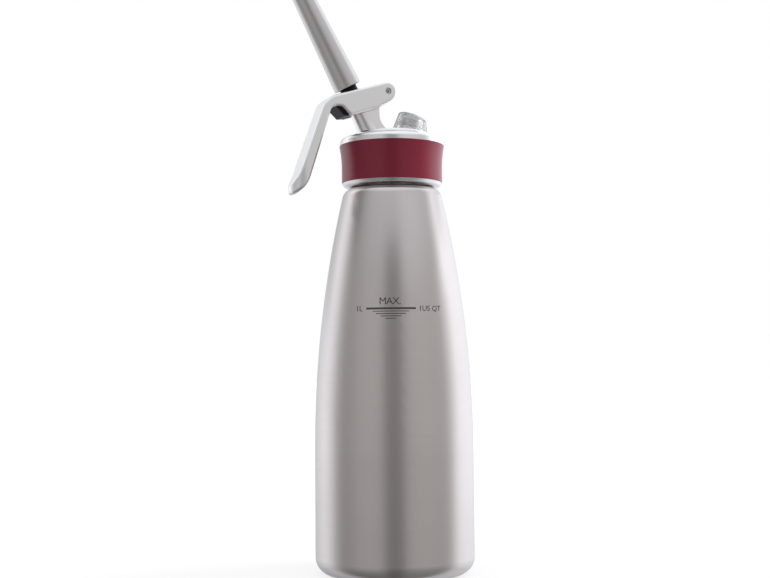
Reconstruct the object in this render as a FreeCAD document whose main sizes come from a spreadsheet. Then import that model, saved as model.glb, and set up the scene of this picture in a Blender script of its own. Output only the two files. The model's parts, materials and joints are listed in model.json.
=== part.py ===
import FreeCAD, Part
import math
import os
from types import SimpleNamespace

import Sketcher
from FreeCAD import Placement, Rotation, Vector

# A hand-held whipped cream dispenser: a steel bottle, a screwed-on cast head with a soft grip
# band, a squeeze lever that pushes a spring-loaded valve down, a long nozzle on that valve, and
# a threaded stud for the gas charger under its protective cap.
#
# Frame: +Z up, origin on the bottle's axis at the surface it stands on. The lever, the valve and
# the charger stud lie in the XZ plane, lever towards -X, stud towards +X, lever pin along Y.
#
# The valve and everything on it is drawn about its own axis, which leans towards -X and crosses
# the bottle's axis valve_cross above the shoulder. The stud and what is in it lean towards +X
# from stud_cross above the shoulder. Heights on those two axes are measured along the axis from
# its crossing point.

DIMENSIONS = {
    # bottle
    "body_radius": 47.9,
    "body_wall": 0.9,
    "bend_height": 150.2,      # where the straight side and the leaning side would meet
    "side_arc": 680.0,         # the long sweep between them
    "shoulder_radius": 29.05,  # corner of the leaning side with the shoulder's top
    "shoulder_height": 232.1,
    "shoulder_round": 7.0,
    "base_round": 10.0,
    "dish_depth": 3.0,
    "dish_flat": 24.0,
    "dish_edge": 34.5,
    "neck_radius": 23.4,
    "neck_height": 17.8,
    "lip_radius": 24.3,
    "lip_thickness": 0.9,
    "ring_radius": 24.7,
    "ring_lift": 1.0,
    # gasket
    "gasket_thickness": 2.4,
    "gasket_bore": 20.6,
    "gasket_gap": 0.35,
    # head casting
    "collar_gap": 0.4,         # collar's foot above the shoulder
    "foot_radius": 26.4,
    "foot_round": 2.0,
    "foot_height": 2.5,
    "foot_land": 30.55,
    "band_seat": 28.2,
    "band_height": 23.1,
    "rim_radius": 31.6,
    "rim_height": 4.2,
    "rim_round": 2.4,
    "disc_radius": 23.2,
    "disc_height": 3.6,
    "disc_round": 2.0,
    "hollow_radius": 19.5,     # the hollow under the head's deck
    "hollow_depth": 6.1,
    # grip band
    "band_radius": 30.65,
    "band_flare": 1.35,
    "flare_drop": 7.8,
    "flare_arc": 75.0,
    # valve axis
    "valve_tilt": 28.0,
    "valve_cross": 7.1,        # above the shoulder
    "seat_face": 8.0,
    "seat_bore": 3.9,
    "seat_length": 4.0,
    "valve_boss": 8.2,
    "tower_root": 20.0,
    "tower_root_radius": 7.5,
    "tower_top": 47.0,
    "tower_radius": 5.9,
    "tower_bore": 4.7,
    "stem_radius": 2.8,
    "stem_bore": 1.8,
    "stem_tail": 2.2,
    "stem_top": 62.0,
    "port_radius": 1.1,
    "port_lift": 2.6,
    "seal_thickness": 1.95,
    "seal_radius": 6.2,
    "washer_thickness": 1.5,
    "nut_across": 7.0,
    "nut_height": 2.3,
    "bush_length": 8.0,
    "wire_radius": 0.4,
    "spring_turns": 7.0,
    "valve_travel": 3.0,
    # adaptor that the nozzle screws on
    "collar_lift": 3.5,        # collar above the tower's top with the valve shut
    "collar_radius": 6.2,
    "collar_thickness": 2.7,
    "waist_radius": 3.9,
    "waist_length": 3.8,
    "flange_radius": 5.2,
    "flange_thickness": 3.2,
    "spigot_radius": 4.3,
    "spigot_length": 7.8,
    # nozzle
    "nozzle_length": 80.0,
    "nozzle_foot_radius": 8.4,
    "nozzle_tip_radius": 5.9,
    "nozzle_wall": 0.9,
    "outlet_radius": 4.9,
    "outlet_length": 6.0,
    "socket_length": 11.0,
    "ring_section": 0.7,
    # lever
    "pivot_offset": 19.06,     # lever pin from the valve's axis
    "pivot_rise": 47.8,        # lever pin's height along that axis
    "pin_radius": 2.0,
    "pin_recess": 1.0,
    "pin_bore": 1.1,
    "lever_width": 18.5,
    "cheek_gap": 14.5,
    "lever_eye": 5.7,
    "lever_slope": 16.85,
    "lever_under": 32.1,
    "lever_edge": 1.6,
    "plate_thickness": 2.2,
    "slot_width": 12.2,
    "handle_round": 13.0,
    "web_width": 13.0,
    "web_eye": 5.2,
    "web_round": 10.5,
    "lever_pad_slot": 8.8,
    # charger stud
    "stud_tilt": 22.0,
    "stud_cross": 9.3,         # above the shoulder
    "gas_face": 15.0,
    "gas_boss": 6.2,
    "stud_boss": 7.3,
    "stud_face": 29.6,
    "stud_radius": 7.0,
    "stud_length": 7.0,
    "stud_shank": 4.8,
    "shank_length": 9.8,
    "charger_bore": 4.4,
    "charger_depth": 6.6,
    "gas_bore": 1.2,
    # charger cap
    "cap_foot": 11.5,
    "cap_centre": 11.4,
    "cap_radius": 9.2,
    "cap_height": 37.2,
    "cap_crown": 0.9,
    "cap_wall": 1.25,
    # clearances
    "seat_gap": 0.05,          # between flat faces of pieces that meet
    "running_fit": 0.06,       # radial, shaft in bore
    "fixed_fit": 0.02,         # radial, pieces fixed in each other
}


class Size:
    """A size: its present number, and the expression that ties it to the sheet."""

    def __init__(self, value, text):
        self.value = float(value)
        self.text = text

    def __add__(self, other):
        other = size_of(other)
        return Size(self.value + other.value, f"({self.text} + {other.text})")

    def __sub__(self, other):
        other = size_of(other)
        return Size(self.value - other.value, f"({self.text} - {other.text})")

    def __mul__(self, other):
        other = size_of(other)
        return Size(self.value * other.value, f"{self.text} * {other.text}")

    def __truediv__(self, other):
        other = size_of(other)
        return Size(self.value / other.value, f"{self.text} / {other.text}")

    def __radd__(self, other):
        return size_of(other) + self

    def __rsub__(self, other):
        return size_of(other) - self

    def __rmul__(self, other):
        return size_of(other) * self

    def __neg__(self):
        return size_of(-1) * self


def size_of(number):
    return number if isinstance(number, Size) else Size(number, f"({number})")


def sine(angle):
    return Size(math.sin(math.radians(angle.value)), f"sin({angle.text})")


def cosine(angle):
    return Size(math.cos(math.radians(angle.value)), f"cos({angle.text})")


def tangent(angle):
    return Size(math.tan(math.radians(angle.value)), f"tan({angle.text})")


def root(number):
    return Size(math.sqrt(number.value), f"sqrt({number.text})")


def larger(first, second):
    return Size(max(first.value, second.value), f"max({first.text}; {second.text})")


def smaller(first, second):
    return Size(min(first.value, second.value), f"min({first.text}; {second.text})")


# ---- document and sheet

doc = FreeCAD.newDocument("dispenser")
sheet = doc.addObject("Spreadsheet::Sheet", "sheet")
for row, (alias, number) in enumerate(DIMENSIONS.items(), start=1):
    sheet.set(f"A{row}", alias.replace("_", " "))
    sheet.set(f"B{row}", str(number))
    sheet.setAlias(f"B{row}", alias)
doc.recompute()
d = SimpleNamespace(**{alias: Size(number, f"sheet.{alias}") for alias, number in DIMENSIONS.items()})

pieces = []


def new_body(label):
    body = doc.addObject("PartDesign::Body", label)
    body.Label = label
    pieces.append(body)
    return body


def new_sketch(body, name, plane="XZ_Plane"):
    sketch = body.newObject("Sketcher::SketchObject", f"{body.Name}_{name}")
    support = next(item for item in body.Origin.OriginFeatures if item.Role == plane)
    sketch.AttachmentSupport = [(support, "")]
    sketch.MapMode = "FlatFace"
    return sketch


def hold(sketch, kind, *references, size):
    """Adds a dimension to the sketch and ties it to the sheet."""
    index = sketch.addConstraint(Sketcher.Constraint(kind, *references, size.value))
    sketch.setExpression(f"Constraints[{index}]", size.text)


def hold_point(sketch, geometry, end, x, y):
    hold(sketch, "DistanceX", -1, 1, geometry, end, size=size_of(x))
    hold(sketch, "DistanceY", -1, 1, geometry, end, size=size_of(y))


def corner_arc(before, corner, after, radius):
    """The tangent arc that rounds a corner: its two ends, the arc, and whether it turns left."""
    back = (before - corner).normalize()
    ahead = (after - corner).normalize()
    half = back.getAngle(ahead) / 2
    reach = radius / math.tan(half)
    entry = corner + back * reach
    leave = corner + ahead * reach
    centre = corner + (back + ahead).normalize() * (radius / math.sin(half))
    left = (corner - before).cross(after - corner).z > 0
    start, end = (entry, leave) if left else (leave, entry)
    first = math.atan2(start.y - centre.y, start.x - centre.x)
    last = math.atan2(end.y - centre.y, end.x - centre.x)
    if last < first:
        last += 2 * math.pi
    arc = Part.ArcOfCircle(Part.Circle(centre, Vector(0, 0, 1), radius), first, last)
    return entry, leave, arc, left


def draw_outline(sketch, corners):
    """A closed outline through corners (x, y) or, where it is rounded, (x, y, radius)."""
    points = [Vector(size_of(c[0]).value, size_of(c[1]).value, 0) for c in corners]
    count = len(corners)
    ends = [(point, point) for point in points]
    arcs = {}
    for i, corner in enumerate(corners):
        if len(corner) == 3:
            radius = size_of(corner[2]).value
            entry, leave, arc, left = corner_arc(points[i - 1], points[i], points[(i + 1) % count], radius)
            ends[i] = (entry, leave)
            arcs[i] = (arc, left)
    lines = []
    for i in range(count):
        segment = Part.LineSegment(ends[i][1], ends[(i + 1) % count][0])
        lines.append(sketch.addGeometry(segment, False))
    for i, corner in enumerate(corners):
        if i not in arcs:
            sketch.addConstraint(Sketcher.Constraint("Coincident", lines[i - 1], 2, lines[i], 1))
            hold_point(sketch, lines[i], 1, corner[0], corner[1])
            continue
        arc, left = arcs[i]
        bend = sketch.addGeometry(arc, False)
        mark = sketch.addGeometry(Part.Point(points[i]), True)
        hold_point(sketch, mark, 1, corner[0], corner[1])
        sketch.addConstraint(Sketcher.Constraint("PointOnObject", mark, 1, lines[i - 1]))
        sketch.addConstraint(Sketcher.Constraint("PointOnObject", mark, 1, lines[i]))
        sketch.addConstraint(Sketcher.Constraint("Tangent", lines[i - 1], 2, bend, 1 if left else 2))
        sketch.addConstraint(Sketcher.Constraint("Tangent", bend, 2 if left else 1, lines[i], 1))
        hold(sketch, "Radius", bend, size=size_of(corner[2]))


def draw_circle(sketch, x, y, radius):
    x, y, radius = size_of(x), size_of(y), size_of(radius)
    circle = Part.Circle(Vector(x.value, y.value, 0), Vector(0, 0, 1), radius.value)
    index = sketch.addGeometry(circle, False)
    hold_point(sketch, index, 3, x, y)
    hold(sketch, "Radius", index, size=radius)


def draw_axis(sketch, foot, top):
    """A construction line from foot to top, to turn a leaning outline about. It comes first."""
    points = [Vector(size_of(x).value, size_of(y).value, 0) for x, y in (foot, top)]
    index = sketch.addGeometry(Part.LineSegment(*points), True)
    hold_point(sketch, index, 1, *foot)
    hold_point(sketch, index, 2, *top)


def turn(body, name, corners, kind="Revolution", axis=None):
    """Turns an outline in the XZ plane about Z, or about a leaning axis."""
    sketch = new_sketch(body, f"{name}_outline")
    if axis:
        draw_axis(sketch, *axis)
    draw_outline(sketch, corners)
    feature = body.newObject(f"PartDesign::{kind}", f"{body.Name}_{name}")
    feature.Profile = sketch
    feature.ReferenceAxis = (sketch, ["Axis0" if axis else "V_Axis"])
    feature.Angle = 360
    sketch.Visibility = False
    return feature


def turn_ring(body, name, x, y, radius):
    """A ring of round section, turned about Z."""
    sketch = new_sketch(body, f"{name}_section")
    draw_circle(sketch, x, y, radius)
    feature = body.newObject("PartDesign::Revolution", f"{body.Name}_{name}")
    feature.Profile = sketch
    feature.ReferenceAxis = (sketch, ["V_Axis"])
    feature.Angle = 360
    return feature


def extrude(body, name, sketch, length, kind="Pad"):
    """Pads or pockets a sketch equally to both sides of its plane."""
    feature = body.newObject(f"PartDesign::{kind}", f"{body.Name}_{name}")
    feature.Profile = sketch
    feature.SideType = "Symmetric"
    length = size_of(length)
    feature.Length = length.value
    feature.setExpression("Length", length.text)
    return feature


def lean(body, direction, tilt, cross):
    """Stands a piece that is drawn about Z on a leaning axis through (0, 0, cross)."""
    body.Placement = Placement(Vector(0, 0, cross.value), Rotation(Vector(0, direction, 0), tilt.value))
    body.setExpression("Placement.Rotation.Angle", tilt.text)
    body.setExpression("Placement.Base.z", cross.text)


def on_valve(across, along):
    """The point (x, z) at a distance across and along the valve's axis."""
    across, along = size_of(across), size_of(along)
    x = across * cosine(d.valve_tilt) - along * sine(d.valve_tilt)
    z = valve_level + across * sine(d.valve_tilt) + along * cosine(d.valve_tilt)
    return x, z


def on_stud(across, along):
    """The point (x, z) at a distance across and along the charger stud's axis."""
    across, along = size_of(across), size_of(along)
    x = across * cosine(d.stud_tilt) + along * sine(d.stud_tilt)
    z = stud_level - across * sine(d.stud_tilt) + along * cosine(d.stud_tilt)
    return x, z


def leaning(place, corners):
    """Corners given across and along a leaning axis, as corners of an XZ sketch."""
    return [place(corner[0], corner[1]) + tuple(corner[2:]) for corner in corners]


def faces_named(feature, wanted):
    return [f"Face{i}" for i, face in enumerate(feature.Shape.Faces, start=1) if wanted(face)]


def edges_named(feature, wanted):
    return [f"Edge{i}" for i, edge in enumerate(feature.Shape.Edges, start=1) if wanted(edge)]


def fillet(body, name, base, wanted, radius):
    """Rounds the edges of the last feature that the test picks out."""
    doc.recompute()
    feature = body.newObject("PartDesign::Fillet", f"{body.Name}_{name}")
    feature.Base = (base, edges_named(base, wanted))
    feature.Radius = radius.value
    feature.setExpression("Radius", radius.text)
    doc.recompute()
    return feature


# ---- heights that follow from the driving dimensions

valve_level = d.shoulder_height + d.valve_cross
stud_level = d.shoulder_height + d.stud_cross
neck_top = d.shoulder_height + d.neck_height

# the long sweep ends before the shoulder's rounding starts, however far the shoulder steps in
side_run = d.body_radius - d.shoulder_radius
side_rise = d.shoulder_height - d.bend_height
side_length = root(side_run * side_run + side_rise * side_rise)
sweep_room = side_length - d.shoulder_round * 0.9
side_sweep = smaller(d.side_arc, sweep_room * side_run / (side_length - side_rise))

gasket_bottom = neck_top + d.seat_gap
gasket_top = gasket_bottom + d.gasket_thickness
ceiling = gasket_top + d.seat_gap
collar_bore = d.ring_radius + d.running_fit
collar_foot = d.shoulder_height + d.collar_gap
band_low = collar_foot + d.foot_height
band_high = band_low + d.band_height
rim_top = band_high + d.rim_height
deck = rim_top + d.disc_height

# the stud's low edge clears the deck, its boss is as wide as it is, and the cap goes over both
stud_clear = deck + 0.2 - stud_level + d.stud_radius * sine(d.stud_tilt)
stud_face = larger(d.stud_face, stud_clear / cosine(d.stud_tilt))
stud_boss = larger(d.stud_boss, d.stud_radius)
cap_radius = larger(d.cap_radius, d.stud_radius + 2.15)
cap_foot = larger(d.cap_foot, d.stud_radius + 4.45)
cap_height = larger(d.cap_height, stud_face + d.stud_length + 0.55)
cap_centre = larger(d.cap_centre, cap_foot - 0.6)
disc_radius = larger(d.disc_radius, cap_centre + cap_foot + 0.25)

collar_low = d.tower_top + d.collar_lift
collar_high = collar_low + d.collar_thickness
# the adaptor keeps a wall round the stem, and its flange keeps a step for the o-ring
waist = larger(d.waist_radius, d.stem_radius + 1.05)
spigot = larger(d.spigot_radius, d.stem_radius + 1.45)
flange = larger(d.flange_radius, spigot + 0.85)
flange_low = collar_high + d.waist_length
flange_high = flange_low + d.flange_thickness
nozzle_foot = flange_high + 0.35
nozzle_end = nozzle_foot + d.nozzle_length
seal_low = d.seat_face - d.seat_gap - d.seal_thickness
bush_low = d.seat_face + d.seat_length + 2.0
spring_low = bush_low + d.bush_length + d.wire_radius + d.seat_gap
spring_high = collar_low - d.wire_radius - d.seat_gap

pivot_x, pivot_z = on_valve(d.pivot_offset, d.pivot_rise)


# ---- bottle

def make_bottle_shell():
    body = new_body("bottle_shell")
    form = turn(body, "form", [
        (0, d.dish_depth),
        (d.dish_flat, d.dish_depth, 12.0),
        (d.dish_edge, 0, 1.5),
        (d.body_radius, 0, d.base_round),
        (d.body_radius, d.bend_height, side_sweep),
        (d.shoulder_radius, d.shoulder_height, d.shoulder_round),
        (d.neck_radius, d.shoulder_height),
        (d.neck_radius, neck_top),
        (0, neck_top),
    ])
    doc.recompute()
    shell = body.newObject("PartDesign::Thickness", "bottle_shell_wall")
    shell.Base = (form, faces_named(form, lambda face: face.CenterOfMass.z > neck_top.value - 0.01))
    shell.Value = d.body_wall.value
    shell.setExpression("Value", d.body_wall.text)
    shell.Reversed = True
    shell.Join = "Intersection"
    lip_bottom = neck_top - d.lip_thickness
    turn(body, "lip", [
        (d.neck_radius - d.body_wall / 2, lip_bottom),
        (d.lip_radius, lip_bottom),
        (d.lip_radius, neck_top, 0.3),
        (d.neck_radius - d.body_wall / 2, neck_top),
    ])


def make_neck_ring():
    body = new_body("neck_ring")
    low = d.shoulder_height + d.ring_lift
    high = neck_top - d.lip_thickness
    turn(body, "form", [
        (d.neck_radius + d.fixed_fit, low),
        (d.ring_radius, low, 0.5),
        (d.ring_radius, high, 0.5),
        (d.neck_radius + d.fixed_fit, high),
    ])


def make_head_gasket():
    body = new_body("head_gasket")
    outer = d.ring_radius - d.gasket_gap
    turn(body, "form", [
        (d.gasket_bore, gasket_bottom, 0.5),
        (outer, gasket_bottom, 0.5),
        (outer, gasket_top, 0.3),
        (d.gasket_bore, gasket_top, 0.3),
    ])


# ---- head

def make_head_casting():
    body = new_body("head_casting")
    hollow_top = ceiling + d.hollow_depth
    turn(body, "crown", [
        (0, hollow_top),
        (d.hollow_radius, hollow_top, 2.5),
        (d.hollow_radius, ceiling),
        (collar_bore, ceiling),
        (collar_bore, collar_foot),
        (d.foot_radius, collar_foot),
        (d.foot_land - 1.25, collar_foot + 0.7, d.foot_round),
        (d.foot_land, band_low),
        (d.band_seat, band_low),
        (d.band_seat, band_high),
        (d.rim_radius, band_high),
        (d.rim_radius - 0.2, rim_top, d.rim_round),
        (disc_radius + 0.4, rim_top + 0.9),
        (disc_radius, deck, d.disc_round),
        (0, deck),
    ])
    valve_axis = (on_valve(0, 0), on_valve(0, d.tower_top))
    stud_axis = (on_stud(0, 0), on_stud(0, stud_face))
    turn(body, "valve_boss", leaning(on_valve, [
        (0, d.seat_face),
        (d.valve_boss, d.seat_face, 1.0),
        (d.valve_boss, d.tower_root + 2.0),
        (0, d.tower_root + 2.0),
    ]), axis=valve_axis)
    turn(body, "tower", leaning(on_valve, [
        (0, d.tower_root),
        (d.tower_root_radius, d.tower_root),
        (d.tower_radius, d.tower_top, 0.5),
        (0, d.tower_top),
    ]), axis=valve_axis)
    turn(body, "stud_boss", leaning(on_stud, [
        (0, d.gas_face),
        (d.gas_boss, d.gas_face, 0.8),
        (d.gas_boss, stud_face - 6.0),
        (stud_boss, stud_face - 6.0),
        (stud_boss, stud_face, 0.4),
        (0, stud_face),
    ]), axis=stud_axis)
    web = new_sketch(body, "web_outline")
    root_x, root_z = on_valve(0, d.tower_root + 4.0)
    back_x = pivot_x - 4.8
    draw_outline(web, [
        (root_x, root_z),
        (back_x + d.web_round + 0.5, root_z),
        (back_x + d.web_round + 0.5, deck),
        (back_x, deck, d.web_round),
        (back_x, pivot_z - 7.9, 3.0),
        (pivot_x + 2.6, pivot_z - 4.5),
        (pivot_x, pivot_z),
        (pivot_x - 3.3, pivot_z + 4.0),
        on_valve(d.tower_radius - 1.0, d.tower_top - 1.0),
        on_valve(0, d.tower_top - 1.0),
    ])
    extrude(body, "web", web, d.web_width)
    eye = new_sketch(body, "eye_outline")
    draw_circle(eye, pivot_x, pivot_z, d.web_eye)
    extrude(body, "eye", eye, d.web_width)
    pocket_low = d.seat_face + d.seat_length
    turn(body, "valve_bore", leaning(on_valve, [
        (0, d.seat_face - 1.0),
        (d.seat_bore, d.seat_face - 1.0),
        (d.seat_bore, pocket_low),
        (d.tower_bore, pocket_low),
        (d.tower_bore, d.tower_top + 1.0),
        (0, d.tower_top + 1.0),
    ]), kind="Groove", axis=valve_axis)
    shank_bore = d.stud_shank + d.fixed_fit
    shank_low = stud_face - d.shank_length
    turn(body, "stud_bore", leaning(on_stud, [
        (0, d.gas_face - 1.0),
        (d.gas_bore + 0.3, d.gas_face - 1.0),
        (d.gas_bore + 0.3, shank_low),
        (shank_bore, shank_low),
        (shank_bore, stud_face + 1.0),
        (0, stud_face + 1.0),
    ]), kind="Groove", axis=stud_axis)
    pin_hole = new_sketch(body, "pin_hole_outline")
    draw_circle(pin_hole, pivot_x, pivot_z, d.pin_radius + d.fixed_fit)
    extrude(body, "pin_hole", pin_hole, d.web_width + 2.0, kind="Pocket")


def make_grip_band():
    body = new_body("grip_band")
    low = band_low + d.fixed_fit
    high = band_high - d.fixed_fit
    inner = d.band_seat + d.fixed_fit
    turn(body, "form", [
        (inner, low),
        (d.band_radius, low, 0.4),
        (d.band_radius - 0.05, high - d.flare_drop, d.flare_arc),
        (d.band_radius + d.band_flare, high, 0.3),
        (inner, high),
    ])


def make_lever_pin():
    body = new_body("lever_pin")
    half = d.lever_width / 2 - d.pin_recess
    turn(body, "form", [
        (d.pin_bore, -half),
        (d.pin_radius, -half, 0.25),
        (d.pin_radius, half, 0.25),
        (d.pin_bore, half),
    ])
    body.Placement = Placement(Vector(pivot_x.value, 0, pivot_z.value), Rotation(Vector(1, 0, 0), 90))
    body.setExpression("Placement.Base.x", pivot_x.text)
    body.setExpression("Placement.Base.z", pivot_z.text)


def make_pivot_washers():
    """Two thin washers, one each side of the web, drawn as one and mirrored."""
    body = new_body("pivot_washers")
    body.AllowCompound = True
    thickness = (d.cheek_gap - d.web_width) / 2 - 2 * d.seat_gap
    inner_face = d.web_width / 2 + d.seat_gap
    washer = turn(body, "form", [
        (d.pin_radius + d.running_fit, inner_face),
        (d.web_eye - 0.6, inner_face, 0.2),
        (d.web_eye - 0.6, inner_face + thickness, 0.2),
        (d.pin_radius + d.running_fit, inner_face + thickness),
    ])
    doc.recompute()
    mirror = body.newObject("PartDesign::Mirrored", "pivot_washers_pair")
    mirror.Originals = [washer]
    middle = next(item for item in body.Origin.OriginFeatures if item.Role == "XY_Plane")
    mirror.MirrorPlane = (middle, [""])
    body.Tip = mirror
    body.Placement = Placement(Vector(pivot_x.value, 0, pivot_z.value), Rotation(Vector(1, 0, 0), 90))
    body.setExpression("Placement.Base.x", pivot_x.text)
    body.setExpression("Placement.Base.z", pivot_z.text)


# ---- valve

def make_valve_bush():
    body = new_body("valve_bush")
    turn(body, "form", [
        (d.stem_radius + d.running_fit, bush_low),
        (d.tower_bore - d.fixed_fit, bush_low, 0.2),
        (d.tower_bore - d.fixed_fit, bush_low + d.bush_length),
        (d.stem_radius + d.running_fit, bush_low + d.bush_length),
    ])
    lean(body, -1, d.valve_tilt, valve_level)


def make_stem_seal():
    body = new_body("stem_seal")
    outer = d.tower_bore - d.fixed_fit
    inner = d.stem_radius + d.running_fit
    turn_ring(body, "form", (outer + inner) / 2, bush_low - 1.0, (outer - inner) / 2)
    lean(body, -1, d.valve_tilt, valve_level)


def make_valve_spring():
    body = new_body("valve_spring")
    section = new_sketch(body, "wire_section")
    coil_radius = (d.stem_radius + d.tower_bore) / 2
    draw_circle(section, coil_radius, spring_low, d.wire_radius)
    helix = body.newObject("PartDesign::AdditiveHelix", "valve_spring_coil")
    helix.Profile = section
    helix.ReferenceAxis = (section, ["V_Axis"])
    helix.Mode = "height-turns-angle"
    height = spring_high - spring_low
    helix.Height = height.value
    helix.setExpression("Height", height.text)
    helix.Turns = d.spring_turns.value
    helix.setExpression("Turns", d.spring_turns.text)
    helix.Reversed = False
    lean(body, -1, d.valve_tilt, valve_level)


def make_valve_stem():
    body = new_body("valve_stem")
    tail_low = seal_low - d.washer_thickness - d.nut_height - 0.6
    shaft = turn(body, "shaft", [
        (0, tail_low),
        (d.stem_tail, tail_low, 0.4),
        (d.stem_tail, seal_low),
        (d.stem_radius, seal_low),
        (d.stem_radius, d.stem_top, 0.3),
        (d.stem_bore, d.stem_top),
        (d.stem_bore, d.seat_face + 1.0),
        (0, d.seat_face + 1.0),
    ])
    port = new_sketch(body, "port_outline")
    draw_circle(port, 0, d.seat_face + d.port_lift, d.port_radius)
    cut = extrude(body, "ports", port, 4 * d.stem_radius, kind="Pocket")
    doc.recompute()
    crossed = body.newObject("PartDesign::PolarPattern", "valve_stem_crossed_ports")
    crossed.Originals = [cut]
    upright = next(item for item in body.Origin.OriginFeatures if item.Role == "Z_Axis")
    crossed.Axis = (upright, [""])
    crossed.Angle = 180
    crossed.Occurrences = 2
    body.Tip = crossed
    shaft.Visibility = False
    lean(body, -1, d.valve_tilt, valve_level)


def make_valve_seal():
    body = new_body("valve_seal")
    turn(body, "form", [
        (d.stem_radius + d.fixed_fit, seal_low),
        (d.seal_radius, seal_low, 0.3),
        (d.seal_radius, seal_low + d.seal_thickness, 0.5),
        (d.stem_radius + d.fixed_fit, seal_low + d.seal_thickness),
    ])
    lean(body, -1, d.valve_tilt, valve_level)


def make_valve_washer():
    body = new_body("valve_washer")
    low = seal_low - d.washer_thickness
    turn(body, "form", [
        (d.stem_tail + d.fixed_fit, low),
        (d.seal_radius, low, 0.3),
        (d.seal_radius, seal_low - d.fixed_fit),
        (d.stem_tail + d.fixed_fit, seal_low - d.fixed_fit),
    ])
    lean(body, -1, d.valve_tilt, valve_level)


def make_valve_nut():
    """A hexagon with a bore, from primitives."""
    prism = doc.addObject("Part::Prism", "valve_nut_hexagon")
    prism.Polygon = 6
    corner_radius = d.nut_across / 2 / cosine(Size(30, "30"))
    prism.setExpression("Circumradius", corner_radius.text)
    prism.setExpression("Height", (d.nut_height - 2 * d.fixed_fit).text)
    bore = doc.addObject("Part::Cylinder", "valve_nut_bore")
    bore.setExpression("Radius", (d.stem_tail + d.fixed_fit).text)
    bore.setExpression("Height", d.nut_height.text)
    low = seal_low - d.washer_thickness - d.nut_height
    for item in (prism, bore):
        item.setExpression("Placement.Base.z", low.text)
    nut = doc.addObject("Part::Cut", "valve_nut")
    nut.Base = prism
    nut.Tool = bore
    nut.Label = "valve_nut"
    lean(nut, -1, d.valve_tilt, valve_level)
    pieces.append(nut)


def make_tip_adaptor():
    body = new_body("tip_adaptor")
    bore = d.stem_radius + d.fixed_fit
    spigot_top = flange_high + d.spigot_length
    turn(body, "form", [
        (bore, collar_low),
        (d.collar_radius, collar_low, 0.4),
        (d.collar_radius, collar_high, 0.4),
        (waist, collar_high),
        (waist, flange_low),
        (flange, flange_low, 0.4),
        (flange, flange_high, 0.1),
        (spigot, flange_high),
        (spigot, spigot_top, 0.6),
        (bore + 0.4, spigot_top),
        (bore + 0.4, d.stem_top + d.seat_gap),
        (bore, d.stem_top + d.seat_gap),
    ])
    lean(body, -1, d.valve_tilt, valve_level)


# ---- nozzle

def cone_radius(along):
    """Outer radius of the nozzle at a distance along the valve's axis."""
    taper = (d.nozzle_foot_radius - d.nozzle_tip_radius) / d.nozzle_length
    return d.nozzle_foot_radius - taper * (along - nozzle_foot)


def make_nozzle_seal():
    body = new_body("nozzle_seal")
    middle = spigot + d.running_fit + d.ring_section
    turn_ring(body, "form", middle, flange_high + d.seat_gap + d.ring_section, d.ring_section)
    lean(body, -1, d.valve_tilt, valve_level)


def make_nozzle_tube():
    body = new_body("nozzle_tube")
    step = nozzle_end - d.outlet_length
    turn(body, "form", [
        (d.nozzle_foot_radius - d.nozzle_wall, nozzle_foot),
        (d.nozzle_foot_radius, nozzle_foot, 0.5),
        (d.nozzle_tip_radius, nozzle_end, 0.4),
        (d.outlet_radius, nozzle_end),
        (d.outlet_radius, step),
        (cone_radius(step - 0.6) - d.nozzle_wall, step - 0.6),
    ])
    lean(body, -1, d.valve_tilt, valve_level)


def make_nozzle_socket():
    body = new_body("nozzle_socket")
    low = nozzle_foot + 0.1
    high = nozzle_foot + d.socket_length
    ring_room = spigot + d.running_fit + 2 * d.ring_section + 0.1
    ring_top = flange_high + d.seat_gap + 2 * d.ring_section + 0.1
    bore = spigot + d.running_fit
    tube_bore = d.nozzle_wall + d.fixed_fit
    turn(body, "form", [
        (ring_room, low),
        (cone_radius(low) - tube_bore, low),
        (cone_radius(high) - tube_bore, high),
        (bore + 1.2, high),
        (bore, high - 1.2),
        (bore, ring_top),
        (ring_room, ring_top),
    ])
    lean(body, -1, d.valve_tilt, valve_level)


# ---- lever

def from_pivot(x, z, *rounding):
    return (pivot_x + x, pivot_z + z) + rounding


def plate_line(x, drop):
    """A point at x from the pin, a distance below the lever's top line."""
    height = (d.lever_eye - drop) / cosine(d.lever_slope) + x * tangent(d.lever_slope)
    return pivot_x + x, pivot_z + height


def under_line(x):
    """A point at x from the pin on the lever's lower line, which is tangent to the eye."""
    height = -d.lever_eye / cosine(d.lever_under) + x * tangent(d.lever_under)
    return pivot_x + x, pivot_z + height


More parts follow.
